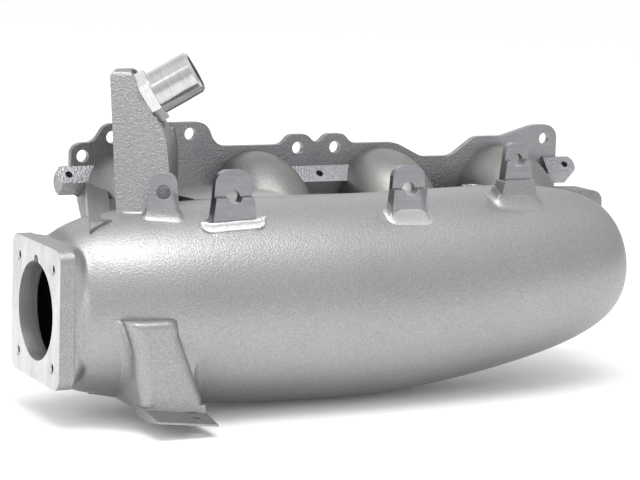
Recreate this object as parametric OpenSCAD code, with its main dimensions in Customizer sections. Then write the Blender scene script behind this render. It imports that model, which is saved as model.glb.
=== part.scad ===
// Four-cylinder inlet manifold: side plenum, four runners, head flange and water neck.
// Origin: centre of the head flange's gasket face. +X runs along the engine away from
// the throttle, +Y points into the cylinder head, +Z is up.

/* [Head flange] */
// Distance between neighbouring ports
port_pitch = 97; // [94:0.5:100]
// Thickness of the head flange
flange_t = 5; // [4:0.5:6]
// Height of the port centres above the flange's middle
port_z = 3; // [0:1:5]
// Radius of the clearance holes for the head studs
stud_hole_r = 4.25; // [3.5:0.25:4.5]

/* [Runners] */
// Outer radius of a runner
runner_r = 30; // [28:0.5:31]
// Radius of a port bore
port_r = 24; // [20:0.5:25]
// Bend radius of a runner's centre line
bend_r = 34; // [33:1:38]
// Angle that a runner turns down
bend_a = 48; // [44:1:52]
// Straight length after the bend
runner_reach = 46; // [44:1:48]

/* [Plenum] */
// Largest outer radius of the plenum
plenum_r = 66; // [65:0.5:67]
// Distance of the plenum's axis in front of the flange's front face
plenum_y = 94; // [93:1:96]
// Depth of the plenum's axis below the flange's middle
plenum_drop = 53; // [52:0.5:54]
// Wall of the plenum casting
wall = 5; // [4:0.5:6]
// Length of the plenum right of its middle
right_len = 187; // [186:1:192]
// Rise of the right half's axis, in degrees
right_rise = 5.5; // [5:0.1:6]
// Turn of the right half's axis towards the head, in degrees
right_turn = 2.5; // [2:0.5:3]
// Rise of the left half's axis towards the throttle, in degrees
left_rise = 1; // [0.5:0.1:1.2]

/* [Throttle flange] */
// Throttle bore radius
throttle_r = 31; // [29:0.5:32]
// Side of the square throttle flange
throttle_side = 87; // [85:1:88]
// Hole-to-hole distance of the throttle bolts
throttle_bolt = 61; // [60:0.5:62]
// Thickness of the throttle flange
throttle_t = 10; // [9:1:11]
// Distance of the throttle face left of the origin
throttle_x = 238.5; // [237:0.5:240]
// Depth of the throttle bore below the flange's middle
throttle_drop = 52; // [51:0.5:53]

/* [Water neck] */
// Turn of the water tower, in degrees
tower_turn = 26; // [24:1:28]
// Outer radius of the hose nipple
nipple_r = 14; // [13:0.5:14.5]
// Length of the hose nipple beyond its collar
nipple_len = 29; // [27:1:32]
// Upward slope of the nipple, in degrees
nipple_slope = 31; // [30:1:33]

/* [Brackets] */
// Radius of the bracket tabs' holes
tab_hole_r = 4.5; // [3:0.25:4.75]
// Radius of the threaded holes in the rail bosses
boss_hole_r = 2.5; // [2:0.25:3]

/* [Hidden] */
$fn = 96;

ports = [for (i = [0:3]) (i - 1.5) * port_pitch];
neck_x = throttle_x - throttle_t;
cut = 1;
overrun = 3;
// In the modules below the flange's front face is the plane y = -front_y
front_y = 12;
axis_y = plenum_y + front_y;
flange_mid = flange_t / 2 - front_y;
belt_w = 16;
belt_t = 0.8;
plate_steps = 6;
stations = 22;

// Head flange outline: corner x, corner z, corner radius, anticlockwise from the lower left
flange_corners = [
    [-171, -12, 10], [-164, -30, 6], [-160, -41, 7], [-144, -41, 7], [-140, -38, 6],
    [-108, -38, 8], [-104, -47, 7], [-90, -47, 7], [-86, -38, 8],
    [-11, -38, 8], [-7, -47, 6], [7, -47, 6], [11, -38, 8],
    [86, -38, 8], [90, -47, 7], [104, -47, 7], [108, -38, 8],
    [196, -38, 10], [196, 46.5, 10], [176, 46.5, 30], [150, 39, 14], [127, 39, 12],
    [108, 25.5, 16], [84, 25.5, 16], [62, 36.2, 20],
    [27, 36.2, 12], [21, 43.2, 7], [7.5, 43.2, 7], [0, 35.5, 6], [-7.5, 43.2, 7], [-21, 43.2, 7],
    [-27, 36.2, 12], [-77, 36.2, 12], [-83, 53, 11], [-157, 53, 9], [-165, 40.5, 10], [-181, 40.5, 9],
    [-181, 8, 3], [-175, 4, 3]];
upper_studs = [[-172.8, 31.7], [-152, 43.9], [-95.5, 45], [-14.4, 33.8], [14.4, 33.8], [185.5, 36.4]];
lower_studs = [[-152, -32], [-95.5, -38], [0, -38], [97, -38], [185.5, -29]];

// Left half radius at s = 0 (throttle neck) to 1 (middle)
neck_min_r = 41;
neck_flare = 3.06;
neck_land = 4;
bore_depth = 22;
bore_relief = 0.5;
// Square root of the neck: its length and the cone that trims its corners
root_len = 20;
root_r1 = 59;
root_r2 = 46;
bolt_r = 2.5;
bolt_depth = 14;
function flare(s) = sqrt(1 - pow(1 - s, neck_flare));
function left_r(s) = neck_min_r + (plenum_r - neck_min_r) * flare(s);
// Left half bore radius
function left_bore(s) = throttle_r + neck_land + (plenum_r - wall - throttle_r - neck_land) * flare(s);
// Right half radius at s = 0 (middle) to 1 (closed end)
end_taper = 0.15;
function right_r(s) = plenum_r * (1 - end_taper * s) * pow(1 - pow(s, 3.7), 1 / 4.26);

// Points spaced closer towards s = 0
function ease_in(i) = pow(i / stations, 2);
// Points spaced closer towards s = 1
function ease_out(i) = 1 - pow(1 - i / stations, 2);

function unit(v) = v / norm(v);

// Arc points that round one corner b between a and c with radius r
function round_corner(a, b, c, r) =
    let (u = unit(a - b), w = unit(c - b),
         half = acos(u * w) / 2,
         run = min(r / tan(half), norm(a - b) / 2.02, norm(c - b) / 2.02),
         rr = run * tan(half),
         centre = b + unit(u + w) * rr / sin(half),
         p = b + u * run - centre,
         q = b + w * run - centre,
         sweep = 180 - 2 * half,
         turn = p[0] * q[1] - p[1] * q[0] > 0 ? 1 : -1)
    [for (i = [0:plate_steps]) let (t = turn * sweep * i / plate_steps)
        centre + [p[0] * cos(t) - p[1] * sin(t), p[0] * sin(t) + p[1] * cos(t)]];

// Outline with every corner rounded; each corner is [x, y, radius]
function rounded(cs) =
    let (n = len(cs))
    [for (i = [0:n - 1])
        let (a = cs[(i + n - 1) % n], b = cs[i], c = cs[(i + 1) % n])
        each round_corner([a[0], a[1]], [b[0], b[1]], [c[0], c[1]], b[2])];

// An XZ outline as a plate that reaches from y0 to y1
module xz_plate(y0, y1) {
    translate([0, y1, 0]) rotate([90, 0, 0]) linear_extrude(y1 - y0) children();
}

// A YZ outline as a bar that reaches from x0 to x1
module yz_bar(x0, x1) {
    translate([x0, 0, 0]) rotate([90, 0, 90]) linear_extrude(x1 - x0) children();
}

// A hole along Y through a plate
module y_hole(x, y, z, r, depth) {
    translate([x, y, z]) rotate([90, 0, 0]) cylinder(r = r, h = depth, center = true);
}

// Moves a finished piece so that the gasket face is the plane y = 0
module at_gasket() {
    translate([0, front_y - flange_t, 0]) children();
}

// Everything behind the flange's front face
module behind_front() {
    translate([-300, -front_y, -100]) cube([400, 300, 300]);
}

// ---- Plenum ----

// Places a shape turned about Z along the left half's axis, drawn from the middle outwards
module along_left() {
    translate([0, -axis_y, -plenum_drop]) rotate([0, left_rise, 0]) rotate([0, 90, 0])
        rotate_extrude() children();
}

module left_half() {
    difference() {
        along_left() polygon(concat([[0, -neck_x - overrun], [neck_min_r, -neck_x - overrun]],
            [for (i = [0:stations]) let (s = ease_in(i)) [left_r(s), -neck_x + neck_x * s]],
            [[plenum_r, 2], [0, 2]]));
        // square end against the throttle flange
        translate([-neck_x - 20, -200, -150]) cube([20, 200, 200]);
    }
}

module right_half(grow) {
    translate([0, -axis_y, -plenum_drop]) rotate([0, -right_rise, right_turn]) rotate([0, 90, 0])
        rotate_extrude() polygon(concat([[0, -2], [plenum_r + grow, -2]],
            [for (i = [0:stations - 1]) let (s = ease_out(i))
                [right_r(s) + grow, right_len * s]],
            [[0, right_len + grow]]));
}

// Low band that covers the joint between the two halves
module middle_belt(r) {
    translate([0, -axis_y, -plenum_drop]) rotate([0, (left_rise - right_rise) / 2, right_turn / 2])
        rotate([0, 90, 0]) cylinder(r = r, h = belt_w, center = true);
}

// Square, round-cornered section of the throttle flange
module throttle_square() {
    h = throttle_side / 2;
    polygon(rounded([[-h, -h, 9], [h, -h, 9], [h, h, 9], [-h, h, 9]]));
}

// Square root of the neck that fades into the round body
module neck_root() {
    translate([-neck_x, -axis_y, -throttle_drop]) intersection() {
        yz_bar(0, root_len) throttle_square();
        rotate([0, 90, 0]) cylinder(r1 = root_r1, r2 = root_r2, h = root_len);
    }
}

// The four throttle bolt holes, drilled depth deep from the throttle face
module throttle_holes(depth) {
    b = throttle_bolt / 2;
    translate([-throttle_x, -axis_y, -throttle_drop]) for (y = [-b, b], z = [-b, b])
        translate([-cut, y, z]) rotate([0, 90, 0]) cylinder(r = bolt_r, h = depth + cut);
}

module plenum_solid() {
    union() {
        left_half();
        neck_root();
        right_half(0);
        middle_belt(plenum_r + belt_t);
    }
}

module plenum_cavity() {
    union() {
        // machined bore behind the throttle, then the cast chamber
        translate([-neck_x - cut, -axis_y, -throttle_drop]) rotate([0, 90, 0])
            cylinder(r = throttle_r + bore_relief, h = bore_depth + 2 * cut);
        along_left() polygon(concat([[0, bore_depth - neck_x]],
            [for (i = [0:stations]) let (s = bore_depth / neck_x + (1 - bore_depth / neck_x) * i / stations)
                [left_bore(s), neck_x * (s - 1)]],
            [[plenum_r - wall, 2], [0, 2]]));
        right_half(-wall);
        middle_belt(plenum_r - wall + belt_t);
    }
}

module plenum_shell() {
    at_gasket() color("silver") difference() {
        plenum_solid();
        plenum_cavity();
        throttle_holes(throttle_t + bolt_depth);
        for (x = ports) runner_leg(x, runner_r);
    }
}

// ---- Runners ----

// Solid that follows a runner's centre line at port x, with radius r
module runner_solid(x, r) {
    translate([x, -front_y, port_z]) {
        rotate([90, 0, 0]) cylinder(r = r, h = 6);
        translate([0, -6, -bend_r]) rotate([0, -90, 0]) rotate([180, 0, 0])
            rotate_extrude(angle = bend_a) translate([bend_r, 0]) circle(r = r);
    }
    runner_leg(x, r);
}

// Straight leg of a runner, a hair proud of the bend where they meet
module runner_leg(x, r) {
    translate([x, -front_y, port_z]) runner_end()
        translate([0, 0, -seam_lap]) cylinder(r = r + seam_step, h = runner_reach + seam_lap);
}

// Places its children at the end of a runner's bend, with +Z along the straight run
module runner_end() {
    translate([0, -6 - bend_r * sin(bend_a), -bend_r * (1 - cos(bend_a))])
        rotate([90 + bend_a, 0, 0]) children();
}

bell_len = 9;
seam_lap = 0.5;
seam_step = 0.05;

module runner(x) {
    at_gasket() color("darkgray") difference() {
        runner_solid(x, runner_r);
        runner_bore(x);
        translate([x, -front_y, port_z]) runner_end()
            translate([0, 0, runner_reach - bell_len]) cylinder(r = runner_r + cut, h = bell_len + cut);
    }
}

// The bore, which runs past both ends of the runner
module runner_bore(x) {
    runner_solid(x, port_r);
    y_hole(x, -front_y, port_z, port_r, 2 * cut);
}

// Rounded inlet lip in the plenum end of a runner
module bellmouth(x) {
    lip = runner_r - port_r;
    at_gasket() color("gainsboro") translate([x, -front_y, port_z]) runner_end()
        translate([0, 0, runner_reach - bell_len]) difference() {
            cylinder(r = runner_r, h = bell_len);
            translate([0, 0, -cut]) cylinder(r = port_r, h = bell_len + 2 * cut);
            rotate_extrude() difference() {
                translate([port_r - cut, bell_len - lip + 0.5]) square([lip + 0.5, lip + cut]);
                translate([runner_r - 0.5, bell_len - lip + 0.5]) circle(r = lip - 0.5);
            }
        }
}

// ---- Head flange ----

module head_flange() {
    at_gasket() color("slategray") difference() {
        xz_plate(-front_y, flange_t - front_y) polygon(rounded(flange_corners));
        for (x = ports) y_hole(x, flange_mid, port_z, port_r, flange_t + 2 * cut);
        for (p = concat(upper_studs, lower_studs))
            y_hole(p[0], flange_mid, p[1], stud_hole_r, flange_t + 2 * cut);
        y_hole(water_port[0], flange_mid, water_port[1], water_r, flange_t + 2 * cut);
    }
}

// ---- Throttle flange ----

module throttle_flange() {
    b = throttle_bolt / 2;
    at_gasket() color("gainsboro") difference() {
        translate([-throttle_x, -axis_y, -throttle_drop]) difference() {
            yz_bar(0, throttle_t) throttle_square();
            rotate([0, 90, 0]) translate([0, 0, -cut]) cylinder(r = throttle_r, h = throttle_t + 2 * cut);
            // locating notch at the top of the bore
            translate([-cut, 0, throttle_r]) rotate([0, 90, 0]) cylinder(r = 4, h = 5 + cut);
            // broken edges of the bolt holes
            for (y = [-b, b], z = [-b, b]) translate([-0.01, y, z]) rotate([0, 90, 0])
                cylinder(r1 = 3.4, r2 = bolt_r, h = 0.9);
        }
        throttle_holes(throttle_t + cut);
    }
}

// ---- Water neck ----

// Front foot of the tower on the plenum
tower_foot = [-176, -116];
water_port = [-123, 34.5];
water_r = 8;
riser_r = 7;

// Local frame of the tower: X to its right, Y to the back, Z up
module tower_frame() {
    translate([tower_foot[0], tower_foot[1], 0]) rotate([0, 0, -tower_turn]) children();
}

module tower_blank() {
    tower_frame() intersection() {
        translate([0, 140, 0]) rotate([90, 0, 0]) linear_extrude(160)
            polygon(rounded([[-12, 0, 1], [-21.5, 92.5, 3], [-7, 93.5, 4], [4, 75, 30],
                             [16, 54, 30], [19, 34, 20], [19, 0, 1]]));
        translate([-40, 0, 0]) rotate([90, 0, 90]) linear_extrude(80)
            polygon(rounded([[-3, 3, 1], [41, 94.5, 7], [68, 94.5, 8], [74, 52, 20],
                             [136, 50, 2], [136, 3, 1]]));
    }
}

// Places its children on the tower's slanted side, with +Z along the hose nipple
module nipple_frame() {
    tower_frame() translate([-5, 46, 71.5]) rotate([0, 90 - nipple_slope, 0]) children();
}

module water_tower() {
    at_gasket() color("darkgray") difference() {
        tower_blank();
        plenum_solid();
        runner_solid(ports[0], runner_r);
        // the flange's front face is the tower's back face
        behind_front();
        nipple_frame() translate([0, 0, -12]) cylinder(r = water_r, h = 60);
        nipple_frame() translate([0, 0, collar_seat]) cylinder(r = 22, h = 40);
        // gallery from the head, along the tower and up to the nipple
        translate([water_port[0], 0, water_port[1]]) rotate([90, 0, 0]) cylinder(r = water_r, h = 24);
        tower_frame() translate([1, 46, water_port[1]]) rotate([-90, 0, 0]) cylinder(r = water_r, h = 66);
        tower_frame() translate([-6, 50, water_port[1]]) cylinder(r = riser_r, h = 41);
    }
}

collar_seat = 8;
collar_t = 7;

module nipple_collar() {
    at_gasket() color("white") nipple_frame() translate([0, 0, collar_seat]) difference() {
        cylinder(r = nipple_r + 3.5, h = collar_t, $fn = 6);
        translate([0, 0, -cut]) cylinder(r = nipple_r - 1.5, h = collar_t + 2 * cut);
    }
}

module hose_nipple() {
    at_gasket() color("lightgray") nipple_frame() translate([0, 0, collar_seat])
        rotate_extrude() polygon([
            [nipple_r - 3, 0], [nipple_r - 1.5, 0], [nipple_r - 1.5, collar_t],
            [nipple_r, collar_t], [nipple_r, collar_t + nipple_len - 1.5],
            [nipple_r - 1.2, collar_t + nipple_len], [nipple_r - 3, collar_t + nipple_len]]);
}

// ---- Fuel rail bosses ----

// Section of a boss: sloping seat face in front, undercut below
function boss_section(seat) = [
    [-front_y, seat + 6.5], [-front_y - 2, seat + 6.5], [-front_y - 10.5, seat - 3.6],
    [-front_y, seat - 13]];

// Square to the seat face: Z points out of the hole
module boss_hole(x, seat) {
    translate([x, -front_y - 6.2, seat + 1.5]) rotate([50, 0, 0])
        translate([0, 0, -boss_depth]) cylinder(r = boss_hole_r, h = 30);
}

left_boss = [-184.5, 19];
middle_boss = [0, 15];
right_boss = [200, 16.4];

lug_end_r = 8.5;
boss_depth = 6;

// Lug with a round end: bar and end are ranges of x beside the hole
module rail_lug(boss, bar, end) {
    x = boss[0];
    seat = boss[1];
    at_gasket() color("gray") difference() {
        union() {
            yz_bar(x + bar[0], x + bar[1]) polygon(boss_section(seat));
            intersection() {
                yz_bar(x + end[0], x + end[1]) polygon(boss_section(seat));
                translate([x, -front_y - 6.2, seat + 1.5]) rotate([50, 0, 0])
                    translate([0, 0, -30]) cylinder(r = lug_end_r, h = 60);
            }
        }
        boss_hole(x, seat);
    }
}

module left_rail_lug() {
    rail_lug(left_boss, [0, 24], [-12, 0.01]);
}

module middle_rail_shelf() {
    at_gasket() color("gray") difference() {
        yz_bar(-26, 26) polygon(boss_section(middle_boss[1]));
        boss_hole(middle_boss[0], middle_boss[1]);
        for (x = [ports[1], ports[2]]) runner_solid(x, runner_r);
    }
}

module right_rail_lug() {
    rail_lug(right_boss, [-16, 0], [-0.01, 12]);
}

// ---- Webs between the flange and the plenum ----

// Wall that runs back from [x, y], turned towards +X, w wide; its side view is [back, height]
module wall_blank(x, y, turn, w, side) {
    translate([x, y, 0]) rotate([0, 0, -turn]) rotate([90, 0, 90]) linear_extrude(w) polygon(side);
}

module bridge_strut_blank() {
    wall_blank(-214, -134, 19.5, 14, [[-4, -14], [-4, -6], [14, 4.5], [118, 15.5], [118, 2]]);
}

module bridge_strut() {
    at_gasket() color("darkgray") difference() {
        bridge_strut_blank();
        plenum_solid();
        runner_solid(ports[0], runner_r);
        left_rail_lug_blank();
        behind_front();
    }
}

module left_rail_lug_blank() {
    yz_bar(left_boss[0] - 12, left_boss[0] + 24) polygon(boss_section(left_boss[1]));
}

module bridge_web() {
    at_gasket() color("gray") difference() {
        wall_blank(-196, -124, 19.5, 26, [[30, -12], [30, 6], [100, 10], [118, 10], [118, 0]]);
        plenum_solid();
        runner_solid(ports[0], runner_r);
        tower_blank();
        bridge_strut_blank();
        left_rail_lug_blank();
        behind_front();
    }
}

// Flat deck between the plenum's crest and the flange, from the water tower to runner 2
deck_z = 10;

module valley_deck() {
    at_gasket() color("silver") difference() {
        yz_bar(-130, -60) polygon([[-100, deck_z - 6], [-100, deck_z + 3.5], [-front_y, deck_z],
                                   [-front_y, deck_z - 8]]);
        plenum_solid();
        tower_blank();
        for (x = [ports[0], ports[1]]) runner_solid(x, runner_r);
    }
}

// Bar that ties runner 3 to runner 4, with a boss for the vacuum port
tie_y = -44;
tie_z = 5.5;
plug_x = 108;

module rear_tie_bar() {
    at_gasket() color("gray") difference() {
        union() {
            translate([ports[2], tie_y - 5, tie_z - 9]) cube([port_pitch, 10, 9]);
            translate([plug_x, tie_y, tie_z - 9]) cylinder(r = 9, h = 9);
        }
        runner_solid(ports[2], runner_r);
        runner_solid(ports[3], runner_r);
        plenum_solid();
        translate([plug_x, tie_y, tie_z - 8]) cylinder(r = 5, h = 20);
    }
}

module port_plug() {
    at_gasket() color("white") difference() {
        union() {
            translate([plug_x, tie_y, tie_z - 8]) cylinder(r = 5, h = 8);
            translate([plug_x, tie_y, tie_z]) cylinder(r = 8, h = 3);
        }
        translate([plug_x, tie_y, tie_z - 2]) cylinder(r = 3.5, h = 8, $fn = 6);
    }
}

module rear_right_block() {
    at_gasket() color("gray") difference() {
        xz_plate(-74, -50)
            polygon(rounded([[160, -45, 4], [197, -45, 10], [197, 6, 8], [160, 7, 4]]));
        plenum_solid();
        runner_solid(ports[3], runner_r);
    }
}

// ---- Bracket tabs ----

// Upright tab: w wide, top and hole height above the frame's base, stepped at the hole
module tab_blank(w, top, hole, foot) {
    difference() {
        intersection() {
            translate([0, 6, 0]) rotate([90, 0, 0]) linear_extrude(8)
                polygon(rounded([[-w / 2 - 2, -foot, 1], [w / 2 + 2, -foot, 1], [w / 2, hole, 6],
                                 [w / 2 - 1, top, w / 2.4], [-w / 2 + 1, top, w / 2.4], [-w / 2, hole, 6]]));
            translate([-w, 0, 0]) rotate([90, 0, 90]) linear_extrude(2 * w)
                polygon([[-2, -foot], [6, -foot], [6, top + 1], [1.5, top + 1], [1.5, hole], [-2, hole]]);
        }
        translate([0, 2, hole]) rotate([90, 0, 0]) cylinder(r = tab_hole_r, h = 20, center = true);
    }
}

// Each tab: [x, y, turn, width, top height, hole height, foot depth, base height]
tabs = [[-163, -127, -20, 18, 24.5, 12.5, 12, 10],
        [-121.7, -143, 0, 26, 27, 10, 7, 10],
        [3.2, -142, 0, 24, 26.5, 11.5, 14, 10],
        [92, -129, 0, 18, 25.5, 14, 2, 22.5]];

module bracket_tab(i) {
    t = tabs[i];
    at_gasket() color("lightslategray") difference() {
        translate([t[0], t[1], t[7]]) rotate([0, 0, t[2]]) tab_blank(t[3], t[4], t[5], t[6]);
        plenum_solid();
        if (i == 3) tab_4_pedestal_blank();
    }
}

module tab_4_pedestal_blank() {
    t = tabs[3];
    translate([t[0], t[1] + 2, 0]) rotate([90, 0, 0]) linear_extrude(12, center = true)
        polygon(rounded([[-17, 0, 1], [17, 0, 1], [11, 24, 3], [-11, 24, 3]]));
}

module tab_4_pedestal() {
    at_gasket() color("darkgray") difference() {
        tab_4_pedestal_blank();
        plenum_solid();
    }
}

// Smoothed weld bead round the foot of tab 2
module tab_2_weld() {
    t = tabs[1];
    at_gasket() color("whitesmoke") difference() {
        translate([t[0], t[1] + 1, t[7] - 2]) rotate([0, 90, 0])
            cylinder(r = 5, h = t[3] + 20, center = true);
        plenum_solid();
        translate([t[0], t[1], t[7]]) tab_blank(t[3], t[4], t[5], t[6]);
        translate([t[0] - 50, t[1] - 2.5, t[7] - 30]) cube([100, 50, 60]);
    }
}

// ---- Support foot ----

sole_tilt = 6.5;

module support_foot() {
    at_gasket() color("silver") difference() {
        intersection() {
            xz_plate(-196, -130)
                polygon(rounded([[-190, -113, 2], [-150, -119, 2], [-152, -101, 6], [-168, -56, 20],
                                 [-169, -52, 1], [-204, -51.5, 1], [-198, -66, 12], [-194, -92, 20]]));
            // side view of the leg and its thin toe, lower on the right
            translate([-190, 0, -104]) rotate([0, sole_tilt, 0]) translate([190, 0, 104]) yz_bar(-220, -125)
                polygon([[-173.5, -40], [-173.5, -104], [-192, -107.5], [-192, -108.7],
                         [-178, -111], [-135, -111], [-135, -40]]);
            // the left side runs back towards +X
            translate([0, 0, -130]) linear_extrude(90)
                polygon([[-206, -196], [-140, -196], [-140, -140], [-170, -125], [-182, -135]]);
        }
        plenum_solid();
        translate([-161, -182, -125]) cylinder(r = 2.1, h = 30);
    }
}

plenum_shell();
throttle_flange();
head_flange();
runner(ports[0]);  // runner_1
runner(ports[1]);  // runner_2
runner(ports[2]);  // runner_3
runner(ports[3]);  // runner_4
bellmouth(ports[0]);  // bellmouth_1
bellmouth(ports[1]);  // bellmouth_2
bellmouth(ports[2]);  // bellmouth_3
bellmouth(ports[3]);  // bellmouth_4
water_tower();
hose_nipple();
nipple_collar();
left_rail_lug();
middle_rail_shelf();
right_rail_lug();
bridge_strut();
bridge_web();
valley_deck();
rear_tie_bar();
port_plug();
rear_right_block();
bracket_tab(0);  // bracket_tab_1
bracket_tab(1);  // bracket_tab_2
bracket_tab(2);  // bracket_tab_3
bracket_tab(3);  // bracket_tab_4
tab_2_weld();
tab_4_pedestal();
support_foot();
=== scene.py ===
# %% [markdown]
# # A cast intake manifold
# The manifold is one big aluminium casting with machined faces and a few welded tabs. The CAD frame
# gives every piece its place and its true size. Here each piece gets its soft edges and its finish:
# blasted sand casting, coarse pebbled casting, brushed plate, turned and milled metal.

import bmesh
import bpy
import numpy as np
from mathutils import Matrix, Vector


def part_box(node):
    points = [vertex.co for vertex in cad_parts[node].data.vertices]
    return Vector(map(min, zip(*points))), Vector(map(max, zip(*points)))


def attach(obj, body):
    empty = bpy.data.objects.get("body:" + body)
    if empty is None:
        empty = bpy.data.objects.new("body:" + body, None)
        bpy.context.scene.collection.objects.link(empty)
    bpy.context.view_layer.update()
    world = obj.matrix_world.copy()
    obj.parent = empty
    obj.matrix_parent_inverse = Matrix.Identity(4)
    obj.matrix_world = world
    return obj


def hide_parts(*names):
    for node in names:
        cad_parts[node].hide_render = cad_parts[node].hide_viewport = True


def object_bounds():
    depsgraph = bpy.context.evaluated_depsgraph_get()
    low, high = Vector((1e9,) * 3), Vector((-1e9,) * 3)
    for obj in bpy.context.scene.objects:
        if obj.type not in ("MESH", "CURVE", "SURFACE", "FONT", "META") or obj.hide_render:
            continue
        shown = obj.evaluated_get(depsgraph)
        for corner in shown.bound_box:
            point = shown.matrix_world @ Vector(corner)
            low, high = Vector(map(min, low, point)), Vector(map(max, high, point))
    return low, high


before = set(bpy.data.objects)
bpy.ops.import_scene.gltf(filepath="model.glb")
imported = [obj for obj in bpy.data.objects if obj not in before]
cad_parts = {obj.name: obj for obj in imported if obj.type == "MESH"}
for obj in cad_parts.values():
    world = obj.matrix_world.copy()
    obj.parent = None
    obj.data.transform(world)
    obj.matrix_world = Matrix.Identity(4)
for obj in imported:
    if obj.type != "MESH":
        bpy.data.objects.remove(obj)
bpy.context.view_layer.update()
MM = 0.001
print("CAD nodes:", len(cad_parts))

# %% [markdown]
# Most pieces need the same three steps after their mesh is made: link it, shade it, and hide the
# CAD nodes it stands for. One helper does that, so that a new piece is a single line later on.

# %% Helpers for new pieces
SMOOTH_ANGLE = np.radians(32)


def into_scene(name, mesh, material, slot, *nodes):
    """Links a mesh as a piece of the root body that stands for the given CAD nodes."""
    piece = bpy.data.objects.new(name, mesh)
    bpy.context.scene.collection.objects.link(piece)
    mesh.materials.clear()
    mesh.materials.append(material)
    mesh.polygons.foreach_set("use_smooth", [True] * len(mesh.polygons))
    mesh.set_sharp_from_angle(angle=SMOOTH_ANGLE)
    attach(piece, "root")
    if nodes:
        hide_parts(*nodes)
    print(name, len(mesh.polygons), "faces")
    return piece


def tube_mesh(name, rings, closed=False):
    """Mesh over an array of rings (n, m, 3) in metres: ring i, point j. Neighbouring rings are joined
    by quads. With closed=True the last ring joins the first one, as in a tyre; otherwise both end
    rings are closed by a fan of triangles round their middle point."""
    n, m, _ = rings.shape
    i = np.arange(n if closed else n - 1)[:, None]
    j = np.arange(m)[None, :]
    k = (i + 1) % n
    right = (j + 1) % m
    quads = np.stack([i * m + j, i * m + right, k * m + right, k * m + j], -1).reshape(-1, 4)
    points = rings.reshape(-1, 3)
    faces = quads.tolist()
    if not closed:
        points = np.vstack([points, rings[0].mean(0), rings[-1].mean(0)])
        a = np.arange(m)
        b = (a + 1) % m
        first = np.stack([np.full(m, n * m), b, a], 1)
        last = np.stack([np.full(m, n * m + 1), (n - 1) * m + a, (n - 1) * m + b], 1)
        faces += first.tolist() + last.tolist()
    mesh = bpy.data.meshes.new(name)
    mesh.from_pydata(points.tolist(), [], faces)
    mesh.update()
    bm = bmesh.new()
    bm.from_mesh(mesh)
    bmesh.ops.recalc_face_normals(bm, faces=bm.faces)
    bm.to_mesh(mesh)
    bm.free()
    return mesh


# %% [markdown]
# A CAD solid has knife-sharp edges, and a casting or a milled plate never has. The CAD mesh itself
# stays untouched: a copy has its loose triangles merged, and a Bevel modifier rounds its edges.

# %% Soft-edged copy of a CAD node
FLAT_ANGLE = np.radians(0.4)
EDGE_ANGLE = np.radians(35)
MERGE = 2e-6


def soft_copy(node, edge, material, slot, segments=3, edge_material=None, trim=None):
    """Copy of a CAD node with its edges rounded to a radius of about edge millimetres. trim is
    a point in millimetres and an outward direction: what lies beyond that plane is cut off."""
    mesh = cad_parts[node].data.copy()
    bm = bmesh.new()
    bm.from_mesh(mesh)
    bmesh.ops.remove_doubles(bm, verts=bm.verts, dist=MERGE)
    bmesh.ops.dissolve_limit(bm, angle_limit=FLAT_ANGLE, verts=bm.verts, edges=bm.edges)
    if trim is not None:
        everything = list(bm.verts) + list(bm.edges) + list(bm.faces)
        cut = bmesh.ops.bisect_plane(bm, geom=everything, plane_co=Vector(trim[0]) * MM,
                                     plane_no=trim[1], clear_outer=True)
        rim = [e for e in cut["geom_cut"] if isinstance(e, bmesh.types.BMEdge)]
        bmesh.ops.contextual_create(bm, geom=rim)
    bm.to_mesh(mesh)
    bm.free()
    piece = into_scene(node + "_soft", mesh, material, slot, node)
    if edge_material is not None:
        mesh.materials.append(edge_material)
    if edge > 0:
        bevel = piece.modifiers.new("soft edges", "BEVEL")
        bevel.width = edge * MM
        bevel.segments = segments
        bevel.limit_method = "ANGLE"
        bevel.angle_limit = EDGE_ANGLE
        bevel.miter_outer = "MITER_ARC"
        bevel.harden_normals = True
        if edge_material is not None:
            bevel.material = 1
    return piece


# %% [markdown]
# ## Finishes
# Every finish starts from the place on the part, the Object coordinates, so that a grain keeps its
# size in millimetres. What several finishes share is a node group: the cast grain and the tool marks.

# %% Node helpers
def new_group(name, inputs, outputs):
    """Empty shader group with the named float, vector or colour sockets."""
    group = bpy.data.node_groups.new(name, "ShaderNodeTree")
    for label, kind, value in inputs:
        socket = group.interface.new_socket(label, in_out="INPUT", socket_type=kind)
        if value is not None:
            socket.default_value = value
    for label, kind in outputs:
        group.interface.new_socket(label, in_out="OUTPUT", socket_type=kind)
    return group, group.nodes.new("NodeGroupInput"), group.nodes.new("NodeGroupOutput")


def math(tree, operation, a, b, c=None):
    """One Math node; a, b and c are sockets or numbers."""
    node = tree.nodes.new("ShaderNodeMath")
    node.operation = operation
    for k, v in enumerate((a, b, c)):
        if v is None:
            continue
        if isinstance(v, (int, float)):
            node.inputs[k].default_value = v
        else:
            tree.links.new(v, node.inputs[k])
    return node.outputs[0]


def noise(tree, vector, scale, detail=3.0, rough=0.55):
    """Noise texture's factor over a vector; scale is a number or a socket."""
    node = tree.nodes.new("ShaderNodeTexNoise")
    tree.links.new(vector, node.inputs["Vector"])
    if isinstance(scale, (int, float)):
        node.inputs["Scale"].default_value = scale
    else:
        tree.links.new(scale, node.inputs["Scale"])
    node.inputs["Detail"].default_value = detail
    node.inputs["Roughness"].default_value = rough
    return node.outputs[0]


FLOAT, VECTOR, COLOR = "NodeSocketFloat", "NodeSocketVector", "NodeSocketColor"

# %% [markdown]
# Sand casting leaves the print of the sand grains: round bumps beside one another, some brighter
# where shot blasting has flattened them. A Voronoi distance makes the bumps, a noise breaks up their
# rows, and a slow noise makes the broad stains that any casting has.


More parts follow.
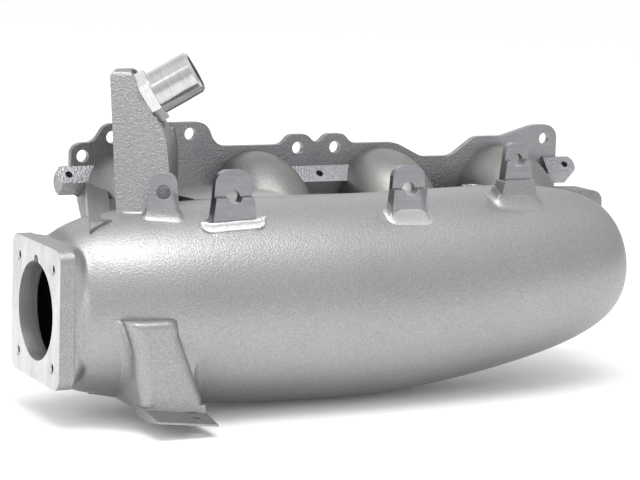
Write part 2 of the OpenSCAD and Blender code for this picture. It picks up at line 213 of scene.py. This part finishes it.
# %% Cast grain group
def cast_grain_group():
    """Height = grain bumps mixed with worms of noise; Tone = grain sparkle plus slow stains."""
    group, inside, out = new_group(
        "cast grain",
        [("Vector", VECTOR, None), ("Grain mm", FLOAT, 1.0), ("Worms", FLOAT, 0.5), ("Stains", FLOAT, 0.5)],
        [("Height", FLOAT), ("Tone", FLOAT)],
    )
    vector = inside.outputs["Vector"]
    scale = math(group, "DIVIDE", 1000.0, inside.outputs["Grain mm"])
    cells = group.nodes.new("ShaderNodeTexVoronoi")
    cells.feature = "SMOOTH_F1"
    cells.inputs["Smoothness"].default_value = 0.6
    group.links.new(vector, cells.inputs["Vector"])
    group.links.new(scale, cells.inputs["Scale"])
    bumps = math(group, "SUBTRACT", 1.0, cells.outputs["Distance"])
    worms = noise(group, vector, math(group, "MULTIPLY", scale, 0.55), 2.0, 0.5)
    worms = math(group, "PINGPONG", math(group, "MULTIPLY", worms, 2.4), 0.5)
    worms = math(group, "MULTIPLY", worms, inside.outputs["Worms"])
    group.links.new(math(group, "ADD", bumps, math(group, "MULTIPLY", worms, 2.0)), out.inputs["Height"])
    fine = noise(group, vector, math(group, "MULTIPLY", scale, 1.3), 2.0, 0.7)
    slow = noise(group, vector, 14.0, 4.0, 0.6)
    slow = math(group, "MULTIPLY", math(group, "SUBTRACT", slow, 0.5), inside.outputs["Stains"])
    group.links.new(math(group, "ADD", fine, slow), out.inputs["Tone"])
    return group


CAST_GRAIN = cast_grain_group()
print("group:", CAST_GRAIN.name)

# %% [markdown]
# A cutter or a brush leaves lines along its path. Squeezing the coordinates along the path turns an
# ordinary noise into long streaks; turned pieces squeeze round their axis, plates along X.


# %% Tool marks group
def tool_marks_group():
    """Height and Tone = two noises, fine and coarse, over coordinates that are already stretched."""
    group, inside, out = new_group(
        "tool marks",
        [("Vector", VECTOR, None), ("Line mm", FLOAT, 0.3), ("Cloud", FLOAT, 0.4)],
        [("Height", FLOAT), ("Tone", FLOAT)],
    )
    scale = math(group, "DIVIDE", 1000.0, inside.outputs["Line mm"])
    lines = noise(group, inside.outputs["Vector"], scale, 2.0, 0.6)
    broad = noise(group, inside.outputs["Vector"], math(group, "MULTIPLY", scale, 0.12), 2.0, 0.5)
    group.links.new(math(group, "ADD", lines, broad), out.inputs["Height"])
    cloud = math(group, "MULTIPLY", math(group, "SUBTRACT", broad, 0.5), inside.outputs["Cloud"])
    group.links.new(math(group, "ADD", lines, cloud), out.inputs["Tone"])
    return group


TOOL_MARKS = tool_marks_group()
print("group:", TOOL_MARKS.name)

# %% [markdown]
# A finish is then a group with its own values, a ramp from its tone to its two colours, a second
# ramp to the roughness, and a bump. The colours are those of bare aluminium: the darker castings
# have more oxide in them. The near-black chamber colour is painted shade for the plenum's dark
# inside, and the light edge colour is painted highlight where it covers the up-facing valley deck.


# %% Finish maker
def finish(name, dark, light, rough, bump_mm, group, settings,
           stretch=None, turn=None, spread=0.22):
    """Material whose colour runs from dark to light and roughness over rough=(low, high) with the
    group's Tone, and whose bump is the group's Height times bump_mm. stretch squeezes the
    coordinates and turn rotates them first."""
    material = bpy.data.materials.new(name)
    material.use_nodes = True
    tree = material.node_tree
    shader = tree.nodes["Principled BSDF"]
    shader.inputs["Metallic"].default_value = 1.0
    place = tree.nodes.new("ShaderNodeTexCoord").outputs["Object"]
    if turn is not None:
        spin = tree.nodes.new("ShaderNodeMapping")
        spin.vector_type = "TEXTURE"
        spin.inputs["Location"].default_value = turn[0]
        spin.inputs["Rotation"].default_value = turn[1]
        tree.links.new(place, spin.inputs["Vector"])
        place = spin.outputs[0]
    if stretch is not None:
        squeeze = tree.nodes.new("ShaderNodeMapping")
        squeeze.inputs["Scale"].default_value = stretch
        tree.links.new(place, squeeze.inputs["Vector"])
        place = squeeze.outputs[0]
    effect = tree.nodes.new("ShaderNodeGroup")
    effect.node_tree = group
    tree.links.new(place, effect.inputs["Vector"])
    for label, value in settings.items():
        effect.inputs[label].default_value = value
    ramp = tree.nodes.new("ShaderNodeValToRGB")
    ramp.color_ramp.elements[0].position = 0.5 - spread
    ramp.color_ramp.elements[1].position = 0.5 + spread
    ramp.color_ramp.elements[0].color = (*dark, 1)
    ramp.color_ramp.elements[1].color = (*light, 1)
    tree.links.new(effect.outputs["Tone"], ramp.inputs[0])
    tree.links.new(ramp.outputs[0], shader.inputs["Base Color"])
    gloss = tree.nodes.new("ShaderNodeMapRange")
    gloss.inputs["From Min"].default_value = 0.5 - spread
    gloss.inputs["From Max"].default_value = 0.5 + spread
    gloss.inputs["To Min"].default_value = rough[0]
    gloss.inputs["To Max"].default_value = rough[1]
    tree.links.new(effect.outputs["Tone"], gloss.inputs["Value"])
    tree.links.new(gloss.outputs[0], shader.inputs["Roughness"])
    bump = tree.nodes.new("ShaderNodeBump")
    bump.inputs["Strength"].default_value = 1.0
    bump.inputs["Distance"].default_value = bump_mm * MM
    tree.links.new(effect.outputs["Height"], bump.inputs["Height"])
    tree.links.new(bump.outputs[0], shader.inputs["Normal"])
    return material


# %% All finishes
BLASTED = finish("blasted casting", (0.27, 0.27, 0.27), (0.45, 0.45, 0.445), (0.48, 0.38), 0.13,
                 CAST_GRAIN, {"Grain mm": 1.1, "Worms": 0.25, "Stains": 0.2}, spread=0.27)
SMOOTH_CAST = finish("smooth casting", (0.17, 0.167, 0.163), (0.31, 0.307, 0.30), (0.50, 0.40), 0.06,
                     CAST_GRAIN, {"Grain mm": 0.9, "Worms": 0.3, "Stains": 0.9})
PEBBLED = finish("pebbled casting", (0.19, 0.19, 0.195), (0.36, 0.36, 0.365), (0.48, 0.38), 0.13,
                 CAST_GRAIN, {"Grain mm": 1.3, "Worms": 0.5, "Stains": 0.3}, spread=0.3)
FLANGE_FACE = finish("dark casting", (0.20, 0.203, 0.212), (0.38, 0.385, 0.40), (0.46, 0.34), 0.26,
                     CAST_GRAIN, {"Grain mm": 1.1, "Worms": 0.5, "Stains": 0.6})
# Lighter cast colour for rounded edges and the tab 3 root; on the up-facing valley deck it is painted
# highlight.
LIGHT_EDGE_AND_DECK_HIGHLIGHT = finish("light edge and painted deck highlight", (0.44, 0.44, 0.44), (0.62, 0.62, 0.615), (0.42, 0.34), 0.04,
              CAST_GRAIN, {"Grain mm": 0.9, "Worms": 0.4, "Stains": 0.3})
MILLED = finish("milled face", (0.50, 0.50, 0.51), (0.68, 0.68, 0.69), (0.42, 0.32), 0.008,
                TOOL_MARKS, {"Line mm": 0.9, "Cloud": 1.0}, stretch=(1, 1, 0.25), spread=0.35)
MACHINED = finish("machined bore", (0.66, 0.66, 0.66), (0.86, 0.86, 0.86), (0.50, 0.36), 0.004,
                  TOOL_MARKS, {"Line mm": 0.5, "Cloud": 0.3}, stretch=(1, 0.03, 0.03))
# Near-black painted shade for the plenum's dark inside, seen through the throttle bore.
CHAMBER_SHADE = finish("cast chamber", (0.04, 0.04, 0.045), (0.09, 0.09, 0.095), (0.7, 0.55), 0.15,
                 CAST_GRAIN, {"Grain mm": 1.2, "Worms": 0.4, "Stains": 0.3})
TAB_PLATE = finish("brushed plate", (0.20, 0.205, 0.22), (0.32, 0.325, 0.34), (0.24, 0.16), 0.004,
                   TOOL_MARKS, {"Line mm": 0.4, "Cloud": 0.8}, stretch=(0.15, 0.3, 1), spread=0.5)
WELD = finish("weld bead", (0.66, 0.66, 0.66), (0.84, 0.84, 0.84), (0.26, 0.20), 0.10,
              CAST_GRAIN, {"Grain mm": 2.4, "Worms": 0.4, "Stains": 0.4})
NIPPLE_TILT = np.radians(90 - 31)
TOWER_TURN = np.radians(-26)
TURNED = finish("turned metal", (0.40, 0.40, 0.41), (0.66, 0.66, 0.67), (0.22, 0.15), 0.004,
                TOOL_MARKS, {"Line mm": 0.35, "Cloud": 0.5}, turn=((0, 0, 0), (0, NIPPLE_TILT, TOWER_TURN)),
                stretch=(0.05, 0.05, 1), spread=0.35)
COLLAR = finish("collar metal", (0.74, 0.74, 0.74), (0.88, 0.88, 0.88), (0.32, 0.24), 0.01,
                TOOL_MARKS, {"Line mm": 0.8, "Cloud": 0.6})
print("finishes:", [m.name for m in bpy.data.materials if m.users == 0][:12])

# %% [markdown]
# ## The plenum
# The plenum is a hollow cast body. On the left it starts as a neck behind the throttle flange, swells
# quickly, then tapers and rises a little to a rounded closed end. It could be a lathe shape bent by a
# curve; a formula for axis and radius is easier to keep true to the CAD, and has no kink anywhere.

# %% Plenum outer and inner skin
neck_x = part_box("throttle_flange")[1].x / MM
RIGHT_LEN = 187.0
FULL_R, NECK_R, WALL = 67.2, 41.0, 5.0
BORE_R = 31.0
AXIS_Y, AXIS_Z = -99.0, -53.0
LEFT_RISE, RIGHT_RISE, RIGHT_TURN = np.radians((1.0, 5.5, 2.5))
BLEND = 22.0
ROOT_LEN, FLANGE_Z = 24.0, -52.0
SQUARE, SOFT = 43.3, 1.2
BORE_DEPTH = 3.0
ROUND = 256


def soft_ramp(x):
    """Zero on the left, x on the right, with a smooth bend between: BLEND ln(1 + e^(x/BLEND))."""
    return BLEND * np.logaddexp(0, x / BLEND)


def plenum_axis(x):
    """Axis point and its slope at x: two straight lines joined by soft ramps."""
    share = 1 / (1 + np.exp(-x / BLEND))
    z = AXIS_Z + np.tan(RIGHT_RISE) * soft_ramp(x) + np.tan(LEFT_RISE) * soft_ramp(-x) - 1.0
    y = AXIS_Y + np.tan(RIGHT_TURN) * soft_ramp(x)
    slope = share * RIGHT_RISE - (1 - share) * LEFT_RISE
    return y, z, slope


def plenum_radius(x):
    """Left of the middle: neck plus a root that swells to the full radius. Right: full radius, less
    a linear taper, times (1 - s^3.7)^(1/4.26), which closes the end with a round shoulder."""
    s = np.clip(x - neck_x, 0, None) / -neck_x
    left = NECK_R + (FULL_R - NECK_R) * np.sqrt(np.clip(1 - np.clip(1 - s, 0, 1) ** 3.06, 0, 1))
    t = np.clip(x / RIGHT_LEN, 0, 1)
    right = (1 - 0.15 * soft_ramp(x) / RIGHT_LEN) * (1 - t**3.7) ** (1 / 4.26)
    return left * right


def ring_stack(x, radius, square=False):
    """Rings of the given radius round the plenum's axis at stations x, square to the axis. With
    square=True the rings near the throttle flange are the soft maximum m of the round body a and the
    flange's square b, m = ln(e^a + e^b) in units of SOFT; b turns into a circle and fades away."""
    y, z, slope = plenum_axis(x)
    phi = np.linspace(0, 2 * np.pi, ROUND, endpoint=False)[None, :]
    reach = np.repeat(radius[:, None], ROUND, 1)
    middle = np.repeat(z[:, None], ROUND, 1)
    if square:
        behind = (x - neck_x)[:, None]
        fade = np.clip(1 - behind / ROOT_LEN, 0, 1)
        power = 2 + 7 * fade**3
        box = SQUARE * (np.abs(np.cos(phi)) ** power + np.abs(np.sin(phi)) ** power) ** (-1 / power)
        box = box - 8 * (1 - fade) ** 2
        near = np.clip(1 - behind / 8, 0, 1) ** 2
        body = reach - (reach - SQUARE + 4) * near
        reach = np.where(fade > 0, SOFT * np.logaddexp(body / SOFT, box / SOFT), reach)
        middle = middle + (FLANGE_Z - middle) * fade
    up = reach * np.sin(phi)
    px = x[:, None] - up * np.sin(slope)[:, None] * (x > 0.6 * neck_x)[:, None]
    py = y[:, None] + reach * np.cos(phi)
    pz = middle + up * np.cos(slope)[:, None]
    return np.stack([px, py, pz], -1) * MM


u = np.linspace(0, 1, 90)
left_x = neck_x * (1 - u**2)
right_x = RIGHT_LEN * (1 - (1 - u[1:]) ** 3)
outer_x = np.concatenate([left_x, right_x])
outer = ring_stack(outer_x, np.maximum(plenum_radius(outer_x), 0.02), square=True)
land_x = neck_x + BORE_DEPTH
inner_x = np.concatenate([right_x[::-3] - WALL, left_x[::-3]])
inner_x = inner_x[inner_x > land_x + 1]
inner_r = np.maximum(plenum_radius(inner_x + WALL * (inner_x > 0)) - WALL, 0.02)
inner_x = np.append(inner_x, [land_x, land_x, neck_x])
inner_r = np.append(inner_r, [plenum_radius(land_x) - WALL, BORE_R + 4, BORE_R + 4])
inner = ring_stack(inner_x, inner_r)
both = np.concatenate([inner, outer])
plenum = into_scene("plenum_skin", tube_mesh("plenum_skin", both), BLASTED, "blasted_cast", "plenum_shell")

# The inner skin takes the near-black painted shade; the outer skin stays blasted casting.
plenum.data.materials.append(CHAMBER_SHADE)
inner_count = (len(inner_x) - 1) * ROUND
inside = np.arange(len(plenum.data.polygons)) < inner_count
plenum.data.polygons.foreach_set("material_index", inside.astype(int))

# %% [markdown]
# Behind the throttle the boring bar has cut a bright cylinder into the neck. It ends in a step where
# the rough chamber begins. It is a thin sleeve: out along the bore, and back a little further out.

# %% Machined bore behind the throttle
SLEEVE_POINTS = 160
turn = np.linspace(0, 2 * np.pi, SLEEVE_POINTS, endpoint=False)[None, :]
sleeve_x = np.array([neck_x, land_x - 0.6, land_x, land_x, neck_x])[:, None]
sleeve_r = np.array([BORE_R, BORE_R, BORE_R + 0.4, BORE_R + 8, BORE_R + 8])[:, None]
sleeve = np.stack([
    np.repeat(sleeve_x, SLEEVE_POINTS, 1),
    AXIS_Y + sleeve_r * np.cos(turn),
    FLANGE_Z + sleeve_r * np.sin(turn)], -1)
into_scene("machined_bore", tube_mesh("machined_bore", sleeve * MM, closed=True), MACHINED, "machined")

# %% [markdown]
# ## The pieces of the casting
# The other cast pieces keep their CAD shape, and most get generous soft edges, because sand does not
# hold a sharp corner. Machined pieces get only a fine broken edge. The runners, the bellmouths and
# the hose nipple get no bevel, only smooth shading.

# %% Cast and machined pieces
soft_copy("head_flange", 1.6, FLANGE_FACE, "flange_cast", edge_material=LIGHT_EDGE_AND_DECK_HIGHLIGHT)
flange = soft_copy("throttle_flange", 0.8, BLASTED, "machined_face", segments=2)
flange.data.materials.append(MILLED)
flange.data.materials.append(MACHINED)
FRONT, BORE = 1, 2
for face in flange.data.polygons:
    reach = np.hypot(face.center.y / MM - AXIS_Y, face.center.z / MM - FLANGE_Z)
    if face.normal.x < -0.7:
        face.material_index = FRONT
    elif reach < BORE_R + 5 and abs(face.normal.x) < 0.7:
        face.material_index = BORE
for k in range(1, 5):
    soft_copy("runner_%d" % k, 0, SMOOTH_CAST, "smooth_cast")
    soft_copy("bellmouth_%d" % k, 0, MACHINED, "machined")
soft_copy("water_tower", 3.0, PEBBLED, "pebbled_cast")
soft_copy("hose_nipple", 0, TURNED, "turned")
soft_copy("nipple_collar", 0.7, COLLAR, "turned_collar")
soft_copy("left_rail_lug", 1.2, FLANGE_FACE, "smooth_cast")
soft_copy("middle_rail_shelf", 1.2, FLANGE_FACE, "smooth_cast")
soft_copy("right_rail_lug", 1.2, FLANGE_FACE, "smooth_cast")
soft_copy("bridge_strut", 0.6, PEBBLED, "pebbled_cast", trim=((-205, -118, 0), (0.33, -0.94, 0)))
soft_copy("bridge_web", 1.0, SMOOTH_CAST, "smooth_cast")
# The valley deck faces up; its lighter colour is painted highlight.
soft_copy("valley_deck", 1.0, LIGHT_EDGE_AND_DECK_HIGHLIGHT, "smooth_cast")
soft_copy("rear_tie_bar", 1.0, SMOOTH_CAST, "smooth_cast")
soft_copy("port_plug", 0.5, COLLAR, "turned_collar")
soft_copy("rear_right_block", 2.0, SMOOTH_CAST, "smooth_cast")
for k in range(1, 5):
    soft_copy("bracket_tab_%d" % k, 0.8, TAB_PLATE, "tab_plate", edge_material=LIGHT_EDGE_AND_DECK_HIGHLIGHT)
soft_copy("tab_4_pedestal", 2.5, PEBBLED, "pebbled_cast")

# %% [markdown]
# ## Roots
# Where a tab, the pedestal or the tower stands on the plenum, the metal flows out in a small
# hollow fillet. Each root is a skirt: the outline of the upright piece at the top, growing outwards as
# it comes down, until its last ring lies on the plenum.


# %% Skirts round the upright pieces
def plenum_crest(x, y):
    """Height of the plenum's upper surface at x and y: axis height plus the rest of the radius."""
    axis_y, axis_z, _ = plenum_axis(x)
    return axis_z + np.sqrt(np.clip(plenum_radius(x) ** 2 - (y - axis_y) ** 2, 1, None))


def rounded_outline(centre, turn, half_x, half_y, power=7, count=96):
    """Superellipse |x/half_x|^power + |y/half_y|^power = 1, turned and moved to centre, with its
    outward directions."""
    t = np.linspace(0, 2 * np.pi, count, endpoint=False)
    c, s = np.cos(t), np.sin(t)
    x = half_x * np.sign(c) * np.abs(c) ** (2 / power)
    y = half_y * np.sign(s) * np.abs(s) ** (2 / power)
    nx = np.sign(c) * np.abs(c) ** (2 - 2 / power) / half_x
    ny = np.sign(s) * np.abs(s) ** (2 - 2 / power) / half_y
    size = np.hypot(nx, ny)
    a = np.radians(turn)
    spin = np.array([[np.cos(a), np.sin(a)], [-np.sin(a), np.cos(a)]])
    return np.stack([x, y], 1) @ spin + np.array(centre), np.stack([nx / size, ny / size], 1) @ spin


def root_skirt(name, outline, rise, spread, material, slot, sink=1.2, steps=12):
    """Quarter-circle fillet: at angle q the ring has grown by spread (1 - cos q) and stands
    rise (1 - sin q) above the plenum."""
    points, outward = outline
    q = np.linspace(0, np.pi / 2, steps)[:, None, None]
    flat = points[None] + outward[None] * spread * (1 - np.cos(q))
    ground = plenum_crest(flat[..., 0], flat[..., 1])
    top = plenum_crest(points[:, 0], points[:, 1])[None] + rise
    height = ground + (top - ground) * (1 - np.sin(q[..., 0])) - 0.15
    rings = np.concatenate([flat, height[..., None]], -1)
    below = rings[-1:] - np.array([0, 0, sink])
    return into_scene(name, tube_mesh(name, np.concatenate([rings, below]) * MM), material, slot)


root_skirt("tab_1_root", rounded_outline((-162.3, -118.2), -20, 10.2, 4.0), 6, 4.5, BLASTED, "blasted_cast")
root_skirt("tab_2_root", rounded_outline((-121.7, -134.0), 0, 14.6, 4.2), 5, 4.5, BLASTED, "blasted_cast")
root_skirt("tab_3_root", rounded_outline((3.2, -133.0), 0, 13.0, 4.0), 7, 4.0, LIGHT_EDGE_AND_DECK_HIGHLIGHT, "smooth_cast")
root_skirt("pedestal_root", rounded_outline((92.0, -120.0), 0, 15.5, 6.0), 6, 5.0, BLASTED, "blasted_cast")
tower_middle = (-176 + 3.5 * 0.899 + 30 * 0.438, -109 - 3.5 * 0.438 + 30 * 0.899)
root_skirt("tower_root", rounded_outline(tower_middle, -26, 15.3, 31.0), 2, 2.0, BLASTED, "blasted_cast")

# %% [markdown]
# The bead of weld in front of the second tab is a fat pillow of melted metal, dressed smooth on the
# left. A superellipse section is flatter in front than a rope; ripples are left at its right end only.

# %% Weld bead
BEAD_DEPTH, BEAD_POINTS = 0.8, 48
bead_at, bead_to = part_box("tab_2_weld")
t = np.linspace(-1, 1, 160)
bead_x = (bead_at.x + bead_to.x) / 2 / MM + (bead_to.x - bead_at.x) / 2 / MM * t
ripple = 0.16 * np.sin(46 * t) * np.clip((t - 0.45) / 0.3, 0, 1)
thick = np.maximum(3.6 * (1 - t**10) ** 0.4 + 0.08 * np.sin(9 * t) + ripple, 0.05)
bead_y = -138.0 + 4.0 * np.abs(t) ** 8
bead_z = plenum_crest(bead_x, bead_y) + 1.9
around = np.linspace(0, 2 * np.pi, BEAD_POINTS, endpoint=False)[None, :]
form = (np.abs(np.cos(around)) ** 3 + np.abs(np.sin(around)) ** 3) ** (-1 / 3)
bead = np.stack([
    np.repeat(bead_x[:, None], BEAD_POINTS, 1),
    bead_y[:, None] + BEAD_DEPTH * thick[:, None] * form * np.cos(around),
    bead_z[:, None] + thick[:, None] * form * np.sin(around)], -1)
into_scene("weld_bead", tube_mesh("weld_bead", bead * MM), WELD, "weld", "tab_2_weld")

# %% [markdown]
# ## The support foot
# The foot is a hollow-looking leg that grows out of the plenum's lower front and ends in a thin toe
# with a drilled pad. Its sides meet the plenum in a soft fillet. A box with bevels would meet it in a
# sharp line, so the leg is lofted: every level is a U whose two ends flare out along the plenum.

# %% Leg of the foot
FILLET, CORNER = 12.0, 9.0
FOOT_TOP, FOOT_LOW = -50.0, -107.0


def plenum_front(x, z):
    """How far forward the plenum reaches at x and z: axis y minus the rest of the radius."""
    y, axis_z, _ = plenum_axis(x)
    return y - np.sqrt(np.clip(plenum_radius(x) ** 2 - (z - axis_z) ** 2, 1, None))


def leg_rings(count=56):
    """U-shaped levels: back along the left side, round the front, back along the right side. A side
    is straight, then a quarter circle of radius FILLET turns it outwards onto the plenum."""
    z = np.linspace(FOOT_TOP, FOOT_LOW, count)
    x_left = np.interp(z, [-110, -92, -68, -50], [-190, -194, -198, -204])
    x_right = np.interp(z, [-110, -100, -60, -50], [-150, -152, -167.5, -169])
    ease = np.clip((FOOT_TOP - z) / 5, 0, 1)
    front = -163.0 - 4.2 * np.sqrt(1 - (1 - ease) ** 2)
    quarter = np.linspace(0, np.pi / 2, 9)
    rings = []
    for side, x_side in ((-1, x_left), (1, x_right)):
        x_out = x_side + side * FILLET
        back = plenum_front(x_out, z)
        root_x = x_out[:, None] - side * FILLET * np.sin(quarter)[None, :]
        root_y = (back + 0.6)[:, None] - FILLET * (1 - np.cos(quarter))[None, :]
        root_y = np.maximum(root_y, front[:, None] + CORNER)
        turn_x = x_side[:, None] - side * CORNER * (1 - np.cos(quarter))[None, :]
        turn_y = (front + CORNER)[:, None] - CORNER * np.sin(quarter)[None, :]
        hidden_x, hidden_y = x_out[:, None] - side * 2, back[:, None] + 4
        x = np.concatenate([hidden_x, root_x, turn_x], 1)
        y = np.concatenate([hidden_y, root_y, turn_y], 1)
        rings.append(np.stack([x, y, np.repeat(z[:, None], x.shape[1], 1)], -1))
    return np.concatenate([rings[0], rings[1][:, ::-1]], 1) * MM


into_scene("foot_leg", tube_mesh("foot_leg", leg_rings()), BLASTED, "blasted_cast")
soft_copy("support_foot", 1.6, BLASTED, "blasted_cast", trim=((0, 0, -103.5), (0, 0, 1)))

# %% [markdown]
# ## Studio
# A white floor, a big soft light overhead and a paler fill from the left make the soft shadow under
# the belly and the long highlight on its shoulder.

# %% Floor
floor_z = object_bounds()[0][2]
bpy.ops.mesh.primitive_plane_add(size=60, location=(0, 0, floor_z))
floor = bpy.context.object
floor.name = "studio_floor"
paper = bpy.data.materials.new("white paper")
paper.use_nodes = True
paper_shader = paper.node_tree.nodes["Principled BSDF"]
paper_shader.inputs["Base Color"].default_value = (0.95, 0.95, 0.95, 1)
paper_shader.inputs["Roughness"].default_value = 0.9
paper_shader.inputs["Specular IOR Level"].default_value = 0.0
paper_shader.inputs["Emission Color"].default_value = (1, 1, 1, 1)
paper_shader.inputs["Emission Strength"].default_value = 0.05
floor.data.materials.append(paper)


# %% Lights
def soft_box(name, place, aim, size, power):
    """Square area light at place, turned to shine at aim."""
    light = bpy.data.lights.new(name, "AREA")
    light.shape = "RECTANGLE"
    light.size, light.size_y = size
    light.energy = power
    lamp = bpy.data.objects.new(name, light)
    bpy.context.scene.collection.objects.link(lamp)
    lamp.location = place
    lamp.rotation_euler = (Vector(aim) - Vector(place)).to_track_quat("-Z", "Y").to_euler()
    return lamp


CENTRE = (0, -0.07, -0.03)
soft_box("overhead", (-0.30, -0.45, 1.6), CENTRE, (1.6, 0.5), 16)
soft_box("left_fill", (-2.2, -0.6, 0.9), CENTRE, (1.2, 1.4), 11)
soft_box("back_fill", (0.6, 2.0, 1.2), CENTRE, (2.0, 1.0), 3)
world = bpy.data.worlds.new("studio")
bpy.context.scene.world = world
world.use_nodes = True
sky_tree = world.node_tree
sky = sky_tree.nodes["Background"]
sky.inputs["Color"].default_value = (1, 1, 1, 1)
height = sky_tree.nodes.new("ShaderNodeSeparateXYZ")
sky_tree.links.new(sky_tree.nodes.new("ShaderNodeTexCoord").outputs["Generated"], height.inputs[0])
fade = sky_tree.nodes.new("ShaderNodeMapRange")
fade.inputs["From Min"].default_value = -0.5
fade.inputs["From Max"].default_value = 1.0
fade.inputs["To Min"].default_value = 0.38
fade.inputs["To Max"].default_value = 1.15
lift = math(sky_tree, "MULTIPLY_ADD", height.outputs["Y"], -0.25, height.outputs["Z"])
sky_tree.links.new(lift, fade.inputs["Value"])
sky_tree.links.new(fade.outputs[0], sky.inputs["Strength"])
bpy.context.scene.view_settings.view_transform = "Standard"

# %% Camera
AZIMUTH, PITCH, ROLL = np.radians((26.82, 8.58, -1.83))
CAMERA_AT = Vector((-0.7291, -1.4572, 0.2141))
FOCAL_PIXELS, FRAME_PIXELS, SENSOR = 2353, 640, 36.0
ahead = np.array([np.sin(AZIMUTH) * np.cos(PITCH), np.cos(AZIMUTH) * np.cos(PITCH), -np.sin(PITCH)])
level_right = np.array([np.cos(AZIMUTH), -np.sin(AZIMUTH), 0])
level_down = np.array([-np.sin(AZIMUTH) * np.sin(PITCH), -np.cos(AZIMUTH) * np.sin(PITCH), -np.cos(PITCH)])
right = np.cos(ROLL) * level_right + np.sin(ROLL) * level_down
down = np.cos(ROLL) * level_down - np.sin(ROLL) * level_right
lens = bpy.data.cameras.new("camera")
lens.sensor_width = SENSOR
lens.lens = FOCAL_PIXELS / FRAME_PIXELS * SENSOR
lens.clip_start = 0.05
lens.clip_end = 200
camera = bpy.data.objects.new("camera", lens)
bpy.context.scene.collection.objects.link(camera)
turned = Matrix((right, -down, -ahead)).transposed().to_4x4()
camera.matrix_world = Matrix.Translation(CAMERA_AT) @ turned
bpy.context.scene.camera = camera
